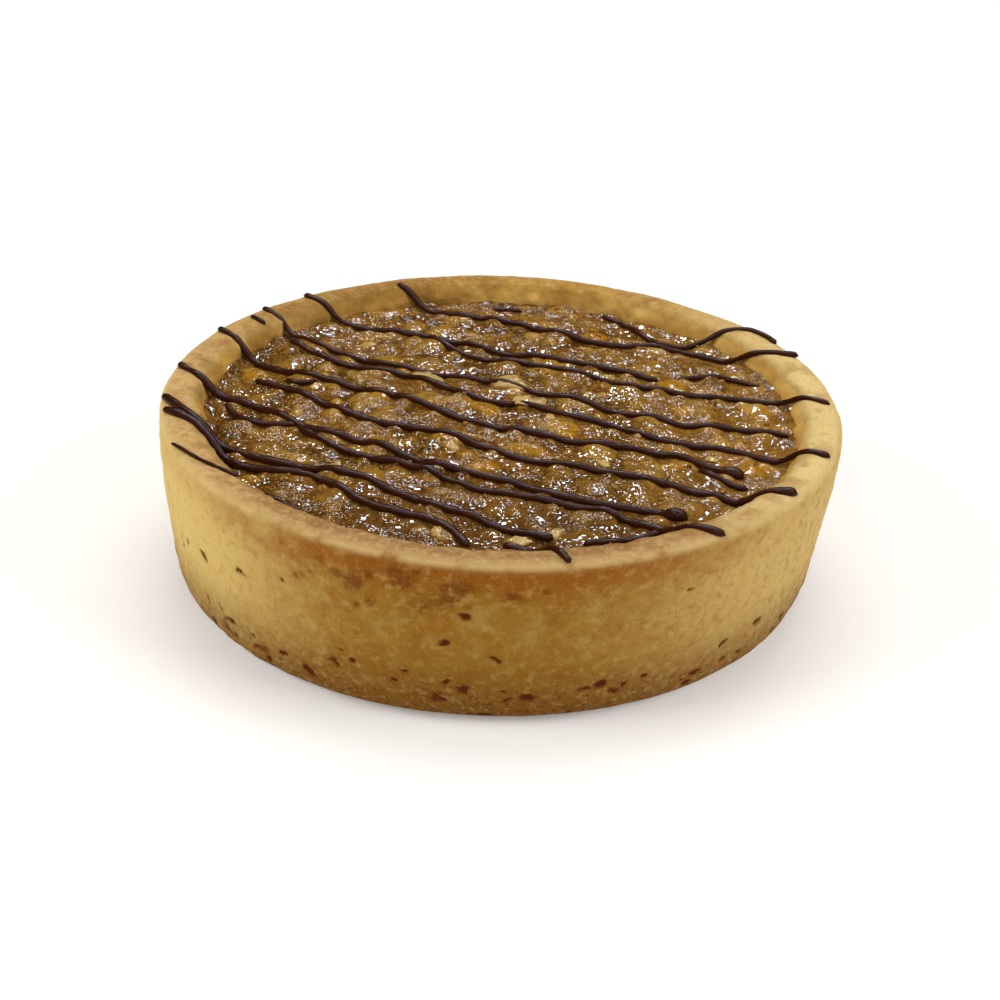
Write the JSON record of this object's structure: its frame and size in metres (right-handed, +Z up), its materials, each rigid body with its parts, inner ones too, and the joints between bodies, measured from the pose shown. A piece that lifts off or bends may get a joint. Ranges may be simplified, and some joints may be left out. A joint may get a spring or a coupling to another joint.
{
  "type": "walnut tart",
  "caption": "Round walnut tart: a steep-sided pastry case filled with chopped walnuts in caramel, with dark chocolate drizzle across the top.",
  "frame": {"origin": "centre of the tart's bounding box in plan, on the plane of its flat base", "axes": "+Z up through the filling, -Y towards the viewer of the picture, +X to the viewer's right"},
  "size_m": [0.1004, 0.0994, 0.0282],
  "materials": {
    "baked_pastry": "matt baked shortcrust pastry, golden brown",
    "walnut_caramel": "glossy amber caramel with chopped walnuts and dark chocolate"
  },
  "bodies": {
    "root": {"crust": "baked_pastry", "filling": "walnut_caramel"}
  },
  "joints": []
}
